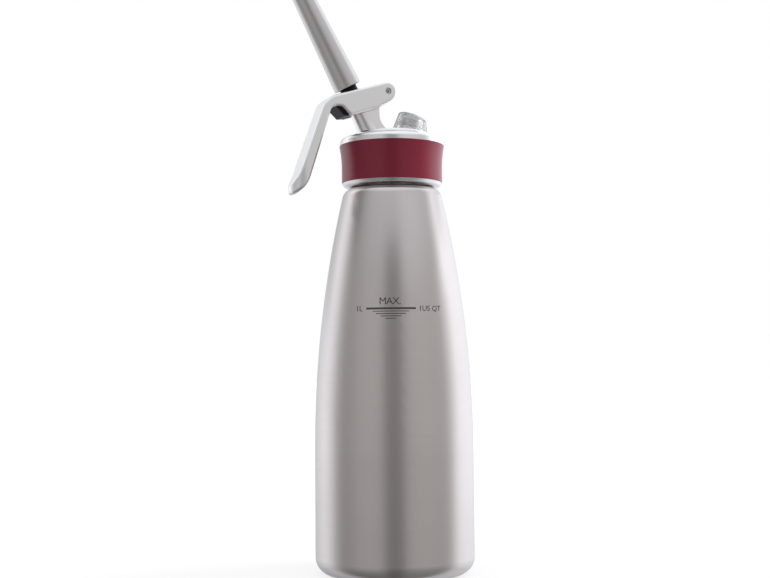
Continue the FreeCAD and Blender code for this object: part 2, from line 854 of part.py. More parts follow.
def make_lever():
    body = new_body("lever")
    slope, below = d.lever_slope, d.lever_under
    rise = d.lever_eye / cosine(slope) + d.lever_eye / cosine(below)
    meeting = rise / (tangent(below) - tangent(slope))
    side = new_sketch(body, "side_outline")
    draw_outline(side, [
        plate_line(meeting, 0) + (d.lever_eye,),
        under_line(size_of(-6.4)) + (5.0,),
        from_pivot(-24.0, -16.4, 2.2),
        from_pivot(-29.2, -11.15, 2.5),
        from_pivot(-35.5, -10.95, 4.5),
        from_pivot(-51.0, -59.15, 18.0),
        from_pivot(-59.7, -66.3, 2.0),
        from_pivot(-60.4, -59.6, 2.3),
        from_pivot(-55.9, -52.65, 22.0),
        plate_line(size_of(-39.2), 0) + (d.handle_round,),
    ])
    extrude(body, "side", side, d.lever_width)
    tip = new_sketch(body, "tip_outline", "XY_Plane")
    half = d.lever_width / 2
    draw_outline(tip, [
        (pivot_x - 75.0, -half - 4.0),
        (pivot_x - 40.0, -half - 4.0),
        (pivot_x - 40.0, -half),
        (pivot_x - 60.2, -half, half - 0.05),
        (pivot_x - 60.2, half, half - 0.05),
        (pivot_x - 40.0, half),
        (pivot_x - 40.0, half + 4.0),
        (pivot_x - 75.0, half + 4.0),
    ])
    rounded = body.newObject("PartDesign::Pocket", "lever_tip")
    rounded.Profile = tip
    rounded.Type = "ThroughAll"
    rounded.Reversed = True
    fillet(body, "soft_edges", rounded, rims_of_lever, d.lever_edge)
    channel = new_sketch(body, "channel_outline")
    under = d.plate_thickness
    draw_outline(channel, [
        from_pivot(-34.6, -24.0),
        plate_line(size_of(-34.6), under) + (2.0,),
        plate_line(size_of(-7.3), under),
        plate_line(size_of(-7.3), -4.0),
        from_pivot(12.0, 12.0),
        from_pivot(12.0, -24.0),
    ])
    extrude(body, "channel", channel, d.cheek_gap, kind="Pocket")
    slot = new_sketch(body, "slot_outline", "XY_Plane")
    draw_outline(slot, [
        (pivot_x - 28.7, -d.slot_width / 2, 5.9),
        (pivot_x - 10.2, -d.slot_width / 2, 5.9),
        (pivot_x - 10.2, d.slot_width / 2, 5.9),
        (pivot_x - 28.7, d.slot_width / 2, 5.9),
    ])
    cut = body.newObject("PartDesign::Pocket", "lever_slot")
    cut.Profile = slot
    cut.Type = "ThroughAll"
    cut.Reversed = True
    pin_hole = new_sketch(body, "pin_hole_outline")
    draw_circle(pin_hole, pivot_x, pivot_z, d.pin_radius + d.running_fit)
    extrude(body, "pin_hole", pin_hole, d.lever_width + 2.0, kind="Pocket")


def rims_of_lever(edge):
    """The edges of the lever's outline, and not the straight seams that run across it."""
    across = edge.Vertexes[0].Point - edge.Vertexes[-1].Point
    return edge.Curve.TypeId != "Part::GeomLine" or abs(across.y) < 0.01


def make_lever_pad():
    """The plastic fork in the lever that straddles the adaptor's waist and bears on its collar."""
    body = new_body("lever_pad")
    width = d.cheek_gap - 4 * d.seat_gap
    under = d.plate_thickness + d.seat_gap
    bearing = collar_high + 2 * d.seat_gap
    back = size_of(-34.4)
    block_end = size_of(-4.0)
    arm_end = size_of(5.0)
    block_top_x = on_valve(block_end, bearing + 3.0)[0] - pivot_x
    block = new_sketch(body, "block_outline")
    draw_outline(block, [
        from_pivot(back, -9.9),
        from_pivot(-27.5, -16.5, 0.8),
        from_pivot(-24.4, -16.05),
        from_pivot(-20.7, -15.05),
        on_valve(block_end, 45.4),
        plate_line(block_top_x, under),
        plate_line(back, under) + (1.9,),
    ])
    extrude(body, "block", block, width)
    cradle_radius = d.collar_radius + 1.2
    cradle_top = bearing + 1.3
    turn(body, "cradle", leaning(on_valve, [
        (0, 38.0),
        (cradle_radius, 38.0),
        (cradle_radius, cradle_top, 0.5),
        (0, cradle_top),
    ]), kind="Groove", axis=(on_valve(0, 0), on_valve(0, bearing)))
    arm_x = on_valve(arm_end, bearing + 1.0)[0] - pivot_x
    cams = new_sketch(body, "cam_outline")
    draw_outline(cams, [
        on_valve(block_end - 1.0, bearing + 0.95),
        on_valve(0.4, bearing) + (6.0,),
        on_valve(arm_end, bearing + 0.3),
        plate_line(arm_x - 0.2, under),
        plate_line(block_top_x - 1.0, under),
    ])
    extrude(body, "cams", cams, width)
    fork = new_sketch(body, "fork_outline")
    draw_outline(fork, leaning(on_valve, [
        (-waist - 0.7, collar_low - 12.0),
        (arm_end + 6.0, collar_low - 12.0),
        (arm_end + 6.0, collar_high + 12.0),
        (-waist - 0.7, collar_high + 12.0),
    ]))
    extrude(body, "fork", fork, d.lever_pad_slot, kind="Pocket")


# ---- charger stud

def make_charger_stud():
    body = new_body("charger_stud")
    low = stud_face - d.shank_length + d.seat_gap
    top = stud_face + d.stud_length
    floor = top - d.charger_depth
    turn(body, "form", [
        (d.gas_bore, low),
        (d.stud_shank, low, 0.3),
        (d.stud_shank, stud_face + d.fixed_fit),
        (d.stud_radius, stud_face + d.fixed_fit),
        (d.stud_radius, top, 0.7),
        (d.charger_bore, top, 0.3),
        (d.charger_bore, floor),
        (d.gas_bore, floor),
    ])
    lean(body, 1, d.stud_tilt, stud_level)


def make_piercing_pin():
    body = new_body("piercing_pin")
    floor = stud_face + d.stud_length - d.charger_depth + d.fixed_fit
    channel = 0.35
    turn(body, "form", [
        (channel, floor),
        (d.charger_bore - d.fixed_fit, floor),
        (d.charger_bore - d.fixed_fit, floor + 1.2),
        (0.95, floor + 1.2),
        (0.95, floor + 3.4),
        (channel + 0.15, floor + 4.6),
        (channel, floor + 4.6),
    ])
    lean(body, 1, d.stud_tilt, stud_level)


def make_charger_seal():
    body = new_body("charger_seal")
    low = stud_face + d.stud_length - d.charger_depth + 1.2 + 2 * d.fixed_fit
    turn(body, "form", [
        (2.2, low),
        (d.charger_bore - d.fixed_fit, low, 0.2),
        (d.charger_bore - d.fixed_fit, low + 1.9, 0.4),
        (2.2, low + 1.9, 0.4),
    ])
    lean(body, 1, d.stud_tilt, stud_level)


def make_gas_valve():
    """A rubber mushroom under the gas bore: its cap lifts to let gas in and shuts against return."""
    body = new_body("gas_valve")
    cap_top = d.gas_face - d.seat_gap
    turn(body, "form", [
        (0, cap_top - 1.3),
        (d.gas_boss - 2.4, cap_top - 1.3, 0.4),
        (d.gas_boss - 1.4, cap_top - 0.3),
        (d.gas_boss - 1.4, cap_top),
        (d.gas_bore - 0.2, cap_top),
        (d.gas_bore - 0.2, cap_top + 3.2, 0.4),
        (0, cap_top + 3.2),
    ])
    lean(body, 1, d.stud_tilt, stud_level)


def tilted_circle(body, name, x, z, radius, tilt=None):
    """A circle on a level plane, or on one square to the stud, for a loft."""
    sketch = new_sketch(body, name, "XY_Plane")
    x, z = size_of(x), size_of(z)
    angle = tilt.value if tilt else 0
    sketch.AttachmentOffset = Placement(Vector(x.value, 0, z.value), Rotation(Vector(0, 1, 0), angle))
    sketch.setExpression("AttachmentOffset.Base.x", x.text)
    sketch.setExpression("AttachmentOffset.Base.z", z.text)
    if tilt:
        sketch.setExpression("AttachmentOffset.Rotation.Angle", tilt.text)
    draw_circle(sketch, 0, 0, radius)
    return sketch


def make_charger_cap():
    """A soft hood whose foot lies level on the deck while its top is square to the stud."""
    body = new_body("charger_cap")
    foot = deck + d.seat_gap
    top_x, top_z = on_stud(0, cap_height)
    hood = body.newObject("PartDesign::AdditiveLoft", "charger_cap_hood")
    hood.Profile = tilted_circle(body, "foot_section", cap_centre, foot, cap_foot)
    hood.Sections = [tilted_circle(body, "top_section", top_x, top_z, cap_radius, d.stud_tilt)]
    stud_axis = (on_stud(0, 0), on_stud(0, cap_height))
    crown = cap_height + d.cap_crown
    turn(body, "crown", leaning(on_stud, [
        (0, cap_height - 0.6),
        (cap_radius - 0.03, cap_height - 0.1),
        (cap_radius - 0.3, crown - 0.25, 0.6),
        (0, crown),
    ]), axis=stud_axis)
    inner_x, inner_z = on_stud(0, cap_height - 0.3)
    hollow = body.newObject("PartDesign::SubtractiveLoft", "charger_cap_hollow")
    inner_foot = tilted_circle(body, "inner_foot_section", cap_centre, foot - 0.4, cap_foot - d.cap_wall)
    hollow.Profile = inner_foot
    inner_top = tilted_circle(
        body, "inner_top_section", inner_x, inner_z, cap_radius - d.cap_wall, d.stud_tilt)
    hollow.Sections = [inner_top]
    sleeve = d.stud_radius + d.running_fit
    turn(body, "sleeve", leaning(on_stud, [
        (sleeve, stud_face + 1.4),
        (sleeve + 1.0, stud_face + 1.4),
        (sleeve + 1.0, cap_height + 0.2),
        (sleeve, cap_height + 0.2),
    ]), axis=stud_axis)


make_bottle_shell()
make_neck_ring()
make_head_gasket()
make_head_casting()
make_grip_band()
make_lever_pin()
make_pivot_washers()
make_valve_bush()
make_stem_seal()
make_valve_spring()
make_valve_stem()
make_valve_seal()
make_valve_washer()
make_valve_nut()
make_tip_adaptor()
make_nozzle_seal()
make_nozzle_tube()
make_nozzle_socket()
make_lever()
make_lever_pad()
make_charger_stud()
make_piercing_pin()
make_charger_seal()
make_gas_valve()
make_charger_cap()

# ---- checks and export

doc.recompute()
faults = [item.Name for item in doc.Objects if "Invalid" in item.State or "Error" in item.State]
for piece in pieces:
    if piece.Shape.isNull() or not piece.Shape.isValid() or not piece.Shape.Solids:
        faults.append(f"{piece.Label} shape")
if faults:
    raise RuntimeError(f"these did not build: {faults}")

os.makedirs("parts", exist_ok=True)
for piece in pieces:
    piece.Shape.exportStep(f"parts/{piece.Label}.step")
    print(f"{piece.Label}: {len(piece.Shape.Solids)} solid, {piece.Shape.Volume / 1000:.2f} cm3")
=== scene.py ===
import json
import math

import bmesh
import bpy
from mathutils import Matrix, Vector
from mathutils.bvhtree import BVHTree


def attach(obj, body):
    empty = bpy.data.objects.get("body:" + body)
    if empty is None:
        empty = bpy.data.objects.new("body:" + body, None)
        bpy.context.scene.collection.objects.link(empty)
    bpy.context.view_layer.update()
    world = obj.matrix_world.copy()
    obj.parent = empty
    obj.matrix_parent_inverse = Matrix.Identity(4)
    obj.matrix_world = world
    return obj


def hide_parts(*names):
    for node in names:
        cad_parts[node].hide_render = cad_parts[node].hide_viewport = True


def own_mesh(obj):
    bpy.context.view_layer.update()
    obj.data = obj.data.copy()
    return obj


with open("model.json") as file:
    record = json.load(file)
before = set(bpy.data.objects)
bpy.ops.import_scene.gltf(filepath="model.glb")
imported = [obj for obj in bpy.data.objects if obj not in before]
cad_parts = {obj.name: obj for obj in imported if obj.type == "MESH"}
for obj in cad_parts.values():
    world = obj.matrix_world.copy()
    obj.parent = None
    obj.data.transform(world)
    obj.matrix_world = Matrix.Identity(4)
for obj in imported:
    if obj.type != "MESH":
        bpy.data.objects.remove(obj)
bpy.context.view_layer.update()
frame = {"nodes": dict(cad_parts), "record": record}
nodes = frame["nodes"]
joints = {joint["name"]: joint for joint in frame["record"]["behaviour"]["joints"]}
print("frame loaded with", len(nodes), "pieces")

# the two leaning axes, which the turned pieces are built round
valveAxis = Vector(joints["valve_travel"]["axis"]).normalized()
studAxis = Vector(joints["cap_pull"]["axis"]).normalized()
frontAngle = math.radians(-112.0)  # direction from the bottle's axis towards the camera


def greyOf(level):
    return (level, level, level, 1.0)


def rgb(red, green, blue):
    # screen values 0..255 as linear colour
    def linear(value):
        value = value / 255
        return value / 12.92 if value <= 0.04045 else ((value + 0.055) / 1.055) ** 2.4
    return (linear(red), linear(green), linear(blue), 1.0)


def addObject(name, data):
    added = bpy.data.objects.new(name, data)
    bpy.context.scene.collection.objects.link(added)
    return added


# node helpers: each tree is laid out from left to right

def addNode(tree, kind, place=(0, 0), **settings):
    node = tree.nodes.new(kind)
    node.location = place
    for name, value in settings.items():
        setattr(node, name, value)
    return node


def feed(tree, socket, value):
    # another node's output is linked in, and a number or colour is set on the socket
    if isinstance(value, bpy.types.NodeSocket):
        tree.links.new(value, socket)
    else:
        socket.default_value = value


def mathNode(tree, operation, place, first, second=None):
    node = addNode(tree, "ShaderNodeMath", place, operation=operation)
    feed(tree, node.inputs[0], first)
    if second is not None:
        feed(tree, node.inputs[1], second)
    return node.outputs[0]


def mixNode(tree, place, factor, first, second, **settings):
    node = addNode(tree, "ShaderNodeMix", place, **settings)
    feed(tree, node.inputs["Factor"], factor)
    feed(tree, node.inputs["A"], first)
    feed(tree, node.inputs["B"], second)
    return node.outputs["Result"]


def mixShaders(tree, place, factor, first, second):
    node = addNode(tree, "ShaderNodeMixShader", place)
    feed(tree, node.inputs["Fac"], factor)
    tree.links.new(first.outputs[0], node.inputs[1])
    tree.links.new(second.outputs[0], node.inputs[2])
    return node


def softStep(tree, place, source, start, end, low=0.0, high=1.0):
    step = addNode(tree, "ShaderNodeMapRange", place, interpolation_type="SMOOTHSTEP")
    for name, value in (("Value", source), ("From Min", start), ("From Max", end),
                        ("To Min", low), ("To Max", high)):
        feed(tree, step.inputs[name], value)
    return step.outputs["Result"]


def addNoise(tree, place, vector, scale, detail, roughness=0.5):
    noise = addNode(tree, "ShaderNodeTexNoise", place)
    for name, value in (("Vector", vector), ("Scale", scale), ("Detail", detail),
                        ("Roughness", roughness)):
        feed(tree, noise.inputs[name], value)
    return noise.outputs["Fac"]


# effects that several finishes share

def newEffect(name, inputs):
    group = bpy.data.node_groups.new(name, "ShaderNodeTree")
    for label, value in inputs.items():
        socket = group.interface.new_socket(name=label, in_out="INPUT",
                                            socket_type="NodeSocketFloat")
        socket.default_value = value
    for label in ("Height", "Roughness", "Shade"):
        group.interface.new_socket(name=label, in_out="OUTPUT", socket_type="NodeSocketFloat")
    return group, addNode(group, "NodeGroupInput", (-900, 0)).outputs


def unevenBy(group, place, noise, amount):
    centred = mathNode(group, "SUBTRACT", place, noise, 0.5)
    return mathNode(group, "MULTIPLY", (place[0] + 180, place[1]), centred, amount)


def endEffect(group, given, pattern, uneven, shadeShare):
    # a height for the bump, a roughness, and a shade that the colour is multiplied by
    end = addNode(group, "NodeGroupOutput", (900, 0))
    feed(group, end.inputs["Height"],
         mathNode(group, "MULTIPLY", (0, 250), pattern, given["Depth"]))
    feed(group, end.inputs["Roughness"],
         mathNode(group, "ADD", (540, 0), uneven, given["Roughness"]))
    shade = mathNode(group, "MULTIPLY", (540, -180), uneven, shadeShare)
    feed(group, end.inputs["Shade"], mathNode(group, "ADD", (720, -180), shade, 1.0))
    return group


lineEffect = {"lineDetail": 3.0, "lineRoughness": 0.7, "cloudScale": 28.0, "cloudDetail": 3.0,
              "shadeShare": -1.6}
grainEffect = {"grainDetail": 2.0, "cloudScale": 45.0, "cloudDetail": 4.0, "shadeShare": -1.5}


def makeBrushedLines():
    # fine lines round the upright axis: thin in height, long along the turn
    group, given = newEffect("brushedLines", {
        "Line Density": 900.0, "Line Length": 40.0, "Depth": 0.5, "Unevenness": 0.05,
        "Roughness": 0.3,
    })
    place = addNode(group, "ShaderNodeTexCoord", (-900, 250)).outputs["Object"]
    stretch = addNode(group, "ShaderNodeCombineXYZ", (-700, 60))
    for side, label in (("X", "Line Length"), ("Y", "Line Length"), ("Z", "Line Density")):
        feed(group, stretch.inputs[side], given[label])
    scaled = addNode(group, "ShaderNodeVectorMath", (-500, 200), operation="MULTIPLY")
    feed(group, scaled.inputs[0], place)
    feed(group, scaled.inputs[1], stretch.outputs[0])
    lines = addNoise(group, (-300, 250), scaled.outputs[0], 1.0, lineEffect["lineDetail"],
                     lineEffect["lineRoughness"])
    cloud = addNoise(group, (-300, -50), place, lineEffect["cloudScale"],
                     lineEffect["cloudDetail"])
    uneven = mathNode(group, "ADD", (360, 0),
                      unevenBy(group, (0, 60), lines, given["Unevenness"]),
                      unevenBy(group, (0, -120), cloud, given["Unevenness"]))
    return endEffect(group, given, lines, uneven, lineEffect["shadeShare"])


def makeSurfaceGrain():
    # an even fine grain with soft cloudy patches, for cast, moulded and rubber surfaces
    group, given = newEffect("surfaceGrain", {
        "Grain Size": 1500.0, "Depth": 0.5, "Patchiness": 0.05, "Roughness": 0.4,
    })
    place = addNode(group, "ShaderNodeTexCoord", (-900, 250)).outputs["Object"]
    grain = addNoise(group, (-500, 250), place, given["Grain Size"], grainEffect["grainDetail"])
    cloud = addNoise(group, (-500, -50), place, grainEffect["cloudScale"],
                     grainEffect["cloudDetail"])
    uneven = unevenBy(group, (0, 0), cloud, given["Patchiness"])
    return endEffect(group, given, grain, uneven, grainEffect["shadeShare"])


brushedLines = makeBrushedLines()
surfaceGrain = makeSurfaceGrain()


def makeMaterial(name, values, effect, effectValues, shaderValues):
    material = bpy.data.materials.new(name)
    material.use_nodes = True
    tree = material.node_tree
    shader = tree.nodes["Principled BSDF"]
    shader.location = (300, 0)
    tree.nodes["Material Output"].location = (620, 0)
    pattern = addNode(tree, "ShaderNodeGroup", (-500, 0), node_tree=effect)
    for label, value in effectValues.items():
        feed(tree, pattern.inputs[label], value)
    feed(tree, shader.inputs["Base Color"],
         mixNode(tree, (-200, 200), 1.0, values["colour"], pattern.outputs["Shade"],
                 data_type="RGBA", blend_type="MULTIPLY"))
    feed(tree, shader.inputs["Roughness"], pattern.outputs["Roughness"])
    bump = addNode(tree, "ShaderNodeBump", (-200, -200))
    feed(tree, bump.inputs["Strength"], 1.0)
    feed(tree, bump.inputs["Distance"], values["bumpHeight"])
    feed(tree, bump.inputs["Height"], pattern.outputs["Height"])
    feed(tree, shader.inputs["Normal"], bump.outputs["Normal"])
    for label, value in shaderValues.items():
        feed(tree, shader.inputs[label], value)
    return material


def grainMaterial(name, values, shaderValues):
    return makeMaterial(name, values, surfaceGrain, {
        "Grain Size": values["grainSize"],
        "Depth": 1.0,
        "Patchiness": values["patchiness"],
        "Roughness": values["roughness"],
    }, shaderValues)


def lineMaterial(name, values, shaderValues):
    return makeMaterial(name, values, brushedLines, {
        "Line Density": values["lineDensity"],
        "Line Length": values["lineLength"],
        "Depth": 1.0,
        "Unevenness": values["unevenness"],
        "Roughness": values["roughness"],
    }, shaderValues)


def brushRound(material):
    # the shine is drawn out across lines that run round the upright axis
    tree = material.node_tree
    turn = addNode(tree, "ShaderNodeTangent", (0, -300), direction_type="RADIAL", axis="Z")
    feed(tree, tree.nodes["Principled BSDF"].inputs["Tangent"], turn.outputs["Tangent"])


def paintEdgeShade(material, values):
    # painted shade: the clear plastic's colour is darkened where its wall is seen along, standing
    # in for the dark bands its walls show there
    tree = material.node_tree
    base = tree.nodes["Principled BSDF"].inputs["Base Color"]
    weight = addNode(tree, "ShaderNodeLayerWeight", (-500, 400))
    shade = softStep(tree, (-300, 450), weight.outputs["Facing"], values["edgeFrom"],
                     values["edgeTo"], 1.0, 1.0 - values["edgeShade"])
    feed(tree, base, mixNode(tree, (50, 350), 1.0, base.links[0].from_socket, shade,
                             data_type="RGBA", blend_type="MULTIPLY"))


def dress(nodeNames, material):
    for name in nodeNames:
        mesh = nodes[name].data
        mesh.materials.clear()
        mesh.materials.append(material)


bottleSteel = {"colour": (0.64, 0.588, 0.578, 1.0), "roughness": 0.23, "lineDensity": 1400.0,
               "lineLength": 30.0, "unevenness": 0.035, "bumpHeight": 0.0000012,
               "anisotropic": 0.7}
castSatin = {"colour": (0.935, 0.914, 0.908, 1.0), "roughness": 0.27, "grainSize": 2400.0,
             "patchiness": 0.04, "bumpHeight": 0.000003}
leverSatin = {"colour": (0.95, 0.928, 0.92, 1.0), "roughness": 0.42, "grainSize": 2600.0,
              "patchiness": 0.04, "bumpHeight": 0.000003}
tubeSteel = {"colour": (0.69, 0.655, 0.652, 1.0), "roughness": 0.36, "grainSize": 1800.0,
             "patchiness": 0.06, "bumpHeight": 0.000003}
turnedSteel = {"colour": (0.66, 0.65, 0.645, 1.0), "roughness": 0.2, "lineDensity": 2200.0,
               "lineLength": 60.0, "unevenness": 0.05, "bumpHeight": 0.000002}
wineRubber = {"colour": rgb(119, 12, 41), "roughness": 0.31, "grainSize": 3200.0,
              "patchiness": 0.05, "bumpHeight": 0.000004, "specular": 0.5}
# black plastic, which on the tip adaptor and nozzle socket also serves as painted shade
blackPlasticAndShade = {"colour": rgb(15, 13, 12), "roughness": 0.45, "grainSize": 2600.0,
                "patchiness": 0.06, "bumpHeight": 0.000005, "specular": 0.2}
sealRubber = {"colour": rgb(46, 44, 44), "roughness": 0.55, "grainSize": 2800.0,
              "patchiness": 0.06, "bumpHeight": 0.000006}
# the clear cap: edgeShade, edgeFrom and edgeTo set the painted shade at its edges
clearPlastic = {"colour": (0.97, 0.965, 0.97, 1.0), "roughness": 0.07, "grainSize": 700.0,
                "patchiness": 0.06, "bumpHeight": 0.000004, "transmission": 0.8, "ior": 1.42,
                "edgeShade": 0.66, "edgeFrom": 0.3, "edgeTo": 0.75}
printedInk = {"colour": rgb(66, 59, 59), "roughness": 0.45, "grainSize": 2600.0,
              "patchiness": 0.08, "bumpHeight": 0.000002}

bottleMaterial = lineMaterial("brushedBottleSteel", bottleSteel, {
    "Metallic": 1.0,
    "Anisotropic": bottleSteel["anisotropic"],
})
brushRound(bottleMaterial)
castMaterial = grainMaterial("satinCastHead", castSatin, {"Metallic": 1.0})
leverMaterial = grainMaterial("satinCastLever", leverSatin, {"Metallic": 1.0})
tubeMaterial = grainMaterial("satinNozzleSteel", tubeSteel, {"Metallic": 1.0})
turnedMaterial = lineMaterial("turnedSteel", turnedSteel, {"Metallic": 1.0})
bandMaterial = grainMaterial("wineSilicone", wineRubber,
                             {"Specular IOR Level": wineRubber["specular"]})
blackPlasticAndShadeMaterial = grainMaterial("blackPlasticAndShade", blackPlasticAndShade,
                                {"Specular IOR Level": blackPlasticAndShade["specular"]})
sealMaterial = grainMaterial("sealRubber", sealRubber, {})
capMaterial = grainMaterial("clearCap", clearPlastic, {
    "Transmission Weight": clearPlastic["transmission"],
    "IOR": clearPlastic["ior"],
})
# painted shade darkens the cap's colour at its edges
paintEdgeShade(capMaterial, clearPlastic)

dress(["bottle_shell", "neck_ring"], bottleMaterial)
dress(["valve_stem", "valve_washer", "valve_nut", "valve_spring", "charger_stud", "piercing_pin",
       "lever_pin"], turnedMaterial)
dress(["head_casting"], castMaterial)
dress(["lever"], leverMaterial)
dress(["nozzle_tube"], tubeMaterial)
dress(["grip_band"], bandMaterial)
# painted shade, in part: the tip adaptor and nozzle socket take the black plastic, which stands in
# for the shadow in the slot under the nozzle tube; the other pieces here are black plastic
# themselves
dress(["lever_pad", "valve_bush", "pivot_washers", "tip_adaptor", "nozzle_socket"],
      blackPlasticAndShadeMaterial)
dress(["head_gasket", "stem_seal", "charger_seal", "gas_valve", "valve_seal", "nozzle_seal"],
      sealMaterial)
dress(["charger_cap"], capMaterial)
print("materials given to every piece")


# turned and threaded pieces, built round an axis from its low end

turning = {"steps": 96, "stepsPerTurn": 40, "mergeWithin": 0.000001, "bevelSegments": 2,
           "sharpAngle": math.radians(40)}


def finishPiece(form, name, material, body, replaced):
    bmesh.ops.recalc_face_normals(form, faces=form.faces)
    mesh = bpy.data.meshes.new(name)
    form.to_mesh(mesh)
    form.free()
    mesh.shade_smooth()
    mesh.set_sharp_from_angle(angle=turning["sharpAngle"])
    mesh.materials.append(material)
    piece = addObject(name, mesh)
    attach(piece, body)
    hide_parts(replaced)
    return piece


def spinUp(form, geom, rise, angle, steps, merge=False):
    # turns the geometry round Z in steps, each of which also climbs by the rise
    return bmesh.ops.spin(form, geom=geom, cent=(0, 0, 0), axis=(0, 0, 1), dvec=(0, 0, rise),
                          angle=angle, steps=steps, use_merge=merge, use_normal_flip=False,
                          use_duplicate=False)


def latheRound(form, outline, edgeRound, steps=turning["steps"]):
    # outline: closed run of (radius, height) corners, turned once round Z
    corners = [form.verts.new((radius, 0, height)) for radius, height in outline]
    loop = [form.edges.new(ends) for ends in zip(corners, corners[1:] + corners[:1])]
    spinUp(form, corners + loop, 0, math.tau, steps, merge=True)
    bmesh.ops.remove_doubles(form, verts=form.verts, dist=turning["mergeWithin"])
    bmesh.ops.recalc_face_normals(form, faces=form.faces)
    sharp = [edge for edge in form.edges
             if len(edge.link_faces) == 2 and edge.calc_face_angle(0) > turning["sharpAngle"]]
    bmesh.ops.bevel(form, geom=sharp, offset=edgeRound, segments=turning["bevelSegments"],
                    affect="EDGES", profile=0.5, material=-1)


def windRound(form, section, low, lead, turns):
    # section: closed run of (radius, height) corners, wound up the axis as a helix
    perTurn = turning["stepsPerTurn"]
    steps = int(turns * perTurn)
    corners = [form.verts.new((radius, 0, low + height)) for radius, height in section]
    face = form.faces.new(corners)
    spinUp(form, [face] + list(face.edges) + corners, lead / perTurn,
           math.tau * steps / perTurn, steps)


def ontoAxis(form, axis, foot):
    turn = axis.to_track_quat("Z", "Y").to_matrix().to_4x4()
    bmesh.ops.transform(form, matrix=Matrix.Translation(foot) @ turn, verts=form.verts)


def addThread(form, values):
    half = values["ridge"] / 2
    crest = values["crestWidth"] / 2
    inside = values["core"] - values["root"]
    run = values["high"] - values["low"] - values["ridge"]
    windRound(form, [(inside, -half), (values["crest"], -crest), (values["crest"], crest),
                     (inside, half)],
              values["low"] + half, values["lead"], run / values["lead"])


# where each leaning axis crosses the bottle's axis
valveFoot = Vector((0, 0, 0.2392))
studFoot = Vector((0, 0, 0.2414))

valveSpring = {
    "coilRadius": 0.00375,
    "wireRadius": 0.0004,
    "wireSides": 12,
    "low": 0.02245,
    "high": 0.05005,
    "turns": 9.0,
    "closedTurns": 1.0,
    "closedLead": 0.00084,
    "stepsPerTurn": 32,
    "squashKeep": 0.888,
}


def makeValveSpring():
    # a closed turn at each end, and open turns between them
    values = valveSpring
    form = bmesh.new()
    wire = bmesh.ops.create_circle(form, segments=values["wireSides"],
                                   radius=values["wireRadius"], cap_ends=True)["verts"]
    bmesh.ops.rotate(form, verts=wire, cent=(0, 0, 0),
                     matrix=Matrix.Rotation(math.pi / 2, 3, "X"))
    bmesh.ops.translate(form, verts=wire, vec=(values["coilRadius"], 0, 0))
    closed = (values["closedTurns"], values["closedLead"])
    openTurns = values["turns"] - 2 * closed[0]
    openRise = values["high"] - values["low"] - 2 * closed[0] * closed[1]
    geom = list(form.faces) + list(form.edges) + list(form.verts)
    for turns, lead in (closed, (openTurns, openRise / openTurns), closed):
        geom = spinUp(form, geom, lead / values["stepsPerTurn"], math.tau * turns,
                      int(turns * values["stepsPerTurn"]))["geom_last"]
    bmesh.ops.translate(form, verts=form.verts, vec=(0, 0, values["low"]))
    ontoAxis(form, valveAxis, valveFoot)
    piece = finishPiece(form, "valveSpringCoil", turnedMaterial, "valve",
                        "valve_spring")
    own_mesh(piece)


neckThread = {
    "bore": 0.02342, "core": 0.0241, "crest": 0.0247, "low": 0.2331, "high": 0.2490,
    "lead": 0.004, "ridge": 0.0019, "crestWidth": 0.0009, "root": 0.0003,
    "edgeRound": 0.0002, "steps": 128,
}


def makeNeckThread():
    values = neckThread
    bore, core, low, high = (values[name] for name in ("bore", "core", "low", "high"))
    form = bmesh.new()
    latheRound(form, [(bore, low), (core, low), (core, high), (bore, high)],
               values["edgeRound"], values["steps"])
    addThread(form, values)
    finishPiece(form, "neckThread", bottleMaterial, "bottle", "neck_ring")


chargerThread = {
    "core": 0.00645, "crest": 0.0070, "low": 0.0303, "high": 0.0361,
    "lead": 0.0015, "ridge": 0.00115, "crestWidth": 0.00035, "root": 0.0003,
    "edgeRound": 0.0002,
    "bore": 0.0012, "foot": 0.01985,
    "shank": 0.0048, "shoulder": 0.0067, "shoulderLow": 0.02963,
    "cup": 0.0044, "cupFloor": 0.0300, "top": 0.0366,
}


def makeChargerThread():
    values = chargerThread
    form = bmesh.new()
    latheRound(form, [(values[radius], values[height]) for radius, height in (
        ("bore", "foot"), ("shank", "foot"), ("shank", "shoulderLow"),
        ("shoulder", "shoulderLow"), ("core", "low"), ("core", "top"), ("cup", "top"),
        ("cup", "cupFloor"), ("bore", "cupFloor"),
    )], values["edgeRound"])
    addThread(form, values)
    ontoAxis(form, studAxis, studFoot)
    finishPiece(form, "chargerThread", turnedMaterial, "head", "charger_stud")


nozzleThread = {
    "core": 0.0039, "crest": 0.0043, "low": 0.0620, "high": 0.0675,
    "lead": 0.0015, "ridge": 0.00115, "crestWidth": 0.00035, "root": 0.0003,
    "edgeRound": 0.00018,
    "bore": 0.00283, "foot": 0.0505,
    "collar": 0.0062, "collarTop": 0.0532,
    "neck": 0.0039, "neckTop": 0.0570,
    "flange": 0.0052, "flangeTop": 0.0602,
    "mouth": 0.00322, "mouthFloor": 0.06205, "top": 0.0680,
}


def makeNozzleThread():
    values = nozzleThread
    form = bmesh.new()
    latheRound(form, [(values[radius], values[height]) for radius, height in (
        ("bore", "foot"), ("collar", "foot"), ("collar", "collarTop"), ("neck", "collarTop"),
        ("neck", "neckTop"), ("flange", "neckTop"), ("flange", "flangeTop"),
        ("core", "flangeTop"), ("core", "top"), ("mouth", "top"), ("mouth", "mouthFloor"),
        ("bore", "mouthFloor"),
    )], values["edgeRound"])
    addThread(form, values)
    ontoAxis(form, valveAxis, valveFoot)
    # the adaptor's black is painted shade in part, standing in for the shadow under the nozzle
    # tube
    finishPiece(form, "nozzleThread", blackPlasticAndShadeMaterial, "valve", "tip_adaptor")


makeValveSpring()
makeNeckThread()
makeChargerThread()
makeNozzleThread()
print("spring and threads made")


